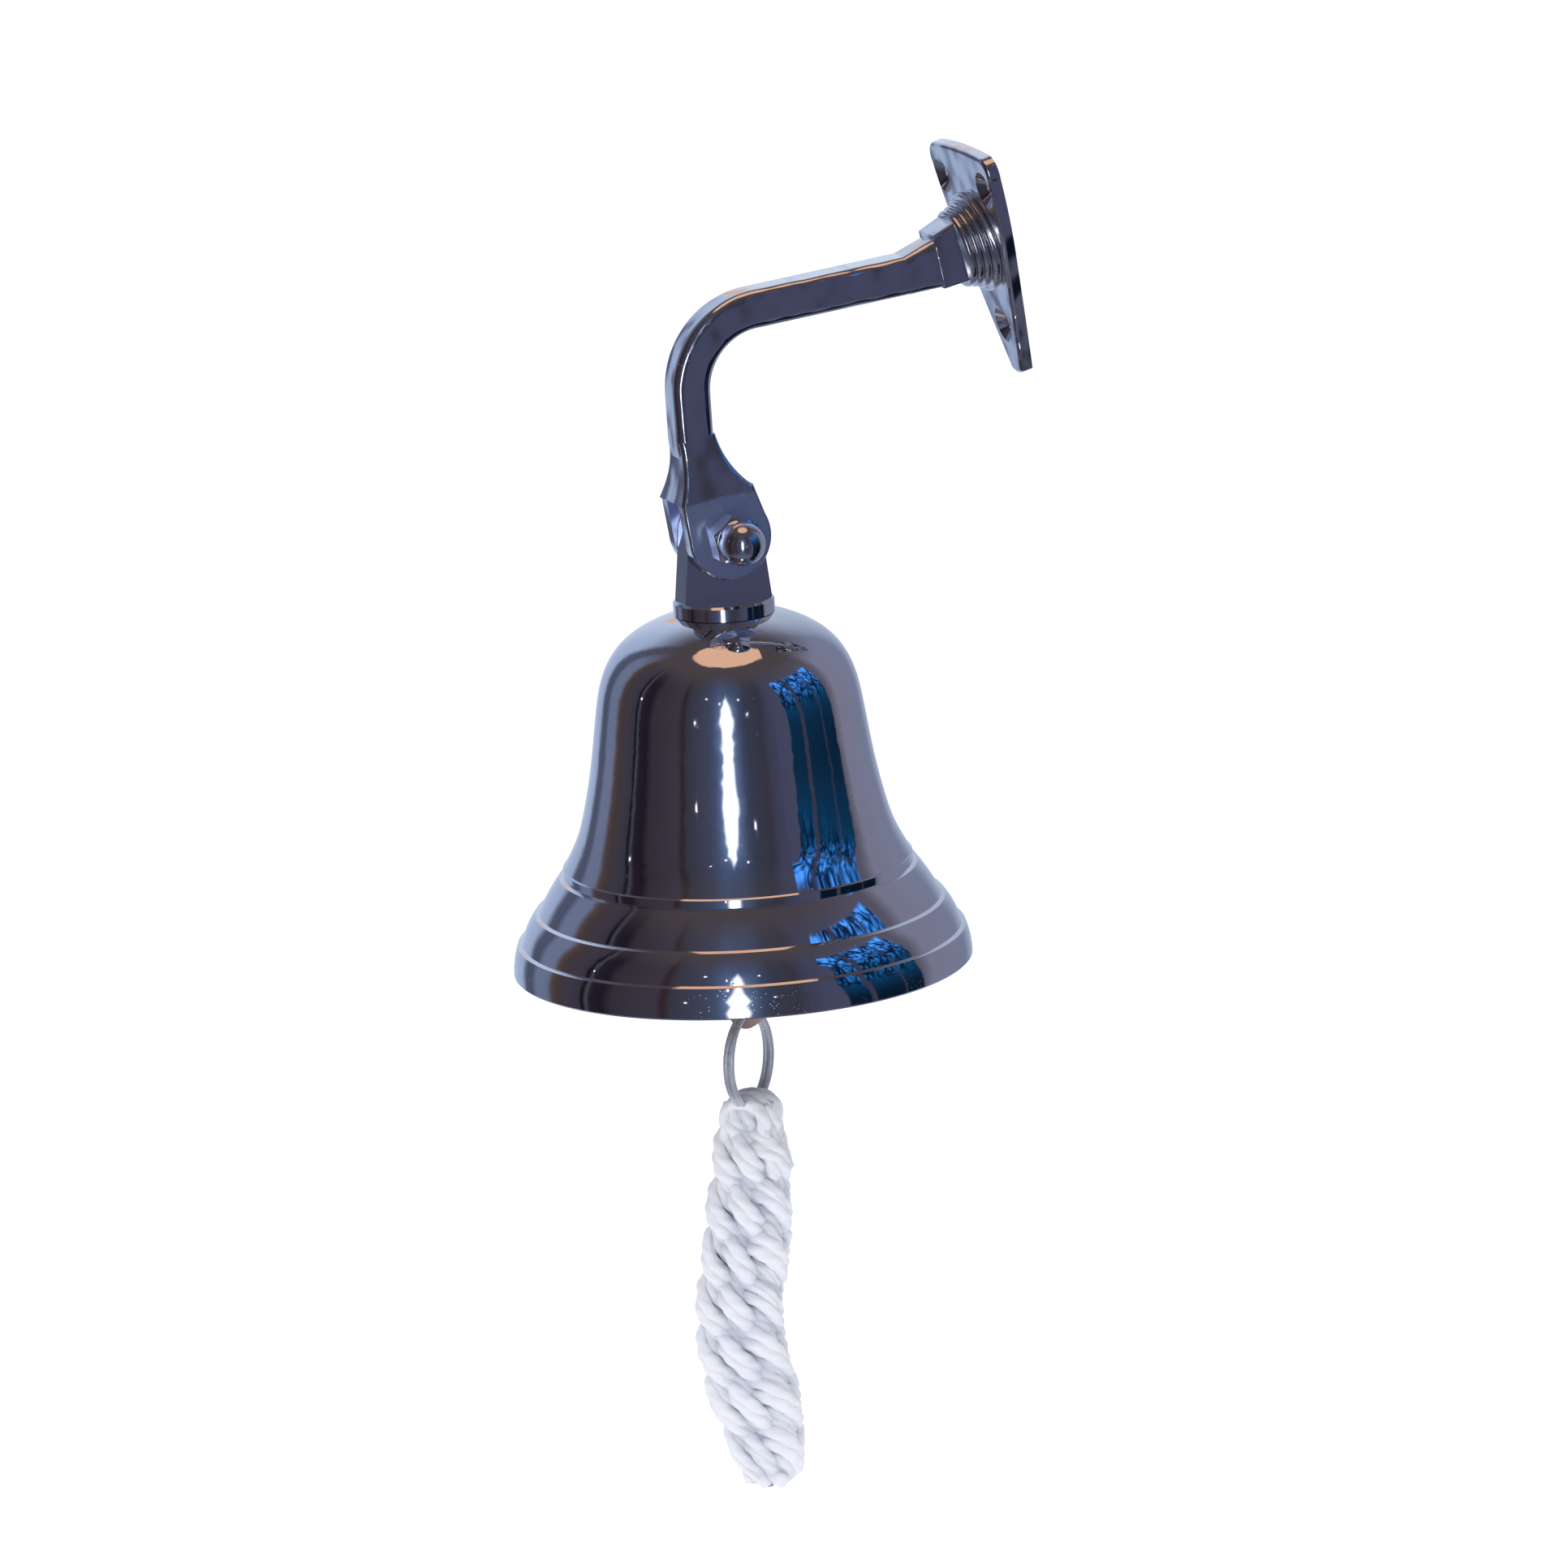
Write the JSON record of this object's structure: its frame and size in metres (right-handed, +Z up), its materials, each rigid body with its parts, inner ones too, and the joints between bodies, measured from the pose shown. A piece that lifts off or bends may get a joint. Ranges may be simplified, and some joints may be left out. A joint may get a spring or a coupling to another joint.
{
  "type": "wall bell with bracket",
  "caption": "Chrome-plated wall bell hung by a pivot lug from a cast arm and shield plate, with a clapper, split ring and plaited rope pull.",
  "frame": {"origin": "centre of the wall plate's back face, on the axis of its round boss", "axes": "+Z up along the plumb line of the hanging bell, +X along the pivot bolt towards its cap nut, +Y towards the wall; the plate's back face leans 13.7 degrees over the bell about +X, as the reference shows it"},
  "size_m": [0.1, 0.123, 0.2934],
  "materials": {
    "plate_chrome": "polished chrome plate on cast metal, hair scratches",
    "arm_chrome": "polished chrome plate on cast metal, hair scratches",
    "lug_chrome": "polished chrome plate on cast metal, hair scratches",
    "bell_chrome": "polished chrome plate on cast metal, hair scratches",
    "bolt_chrome": "polished chrome plate on cast metal, hair scratches",
    "nut_chrome": "polished chrome plate on cast metal, hair scratches",
    "screw_steel": "plain bright wire",
    "inner_steel": "plain bright wire",
    "ring_steel": "plain bright wire",
    "clapper_brass": "turned, dull",
    "rope_cotton": "soft plaited white cotton cord"
  },
  "bodies": {
    "bracket": {"wall_plate": "plate_chrome", "bracket_arm": "arm_chrome", "arm_screw": "screw_steel", "pivot_bolt": "bolt_chrome", "cap_nut": "nut_chrome"},
    "bell": {"bell_lug": "lug_chrome", "bell_shell": "bell_chrome", "crown_washer": "inner_steel", "crown_nut": "inner_steel", "clapper_eye": "inner_steel"},
    "link": {"clapper_link": "inner_steel"},
    "clapper": {"clapper_rod": "clapper_brass", "clapper_ball": "clapper_brass"},
    "ring": {"split_ring": "ring_steel"},
    "rope": {"lanyard": "rope_cotton"}
  },
  "joints": [
    {"name": "bell_swing", "type": "hinge", "parent": "bracket", "child": "bell", "pos_m": [0, -0.06574, -0.05769], "axis": [1, 0, 0], "range_deg": [-49, 26]},
    {"name": "link_swing", "type": "hinge", "parent": "bell", "child": "link", "pos_m": [0, -0.06574, -0.09718], "axis": [0, 1, 0], "range_deg": [-22, 22]},
    {"name": "clapper_swing", "type": "hinge", "parent": "link", "child": "clapper", "pos_m": [0, -0.06574, -0.10448], "axis": [1, 0, 0], "range_deg": [-22, 22]},
    {"name": "ring_swing", "type": "hinge", "parent": "clapper", "child": "ring", "pos_m": [0, -0.06574, -0.16459], "axis": [0.7071, -0.7071, 0], "range_deg": [-30, 30]},
    {"name": "rope_swing", "type": "hinge", "parent": "ring", "child": "rope", "pos_m": [0, -0.06574, -0.17494], "axis": [0.7071, 0.7071, 0], "range_deg": [-25, 25]}
  ]
}
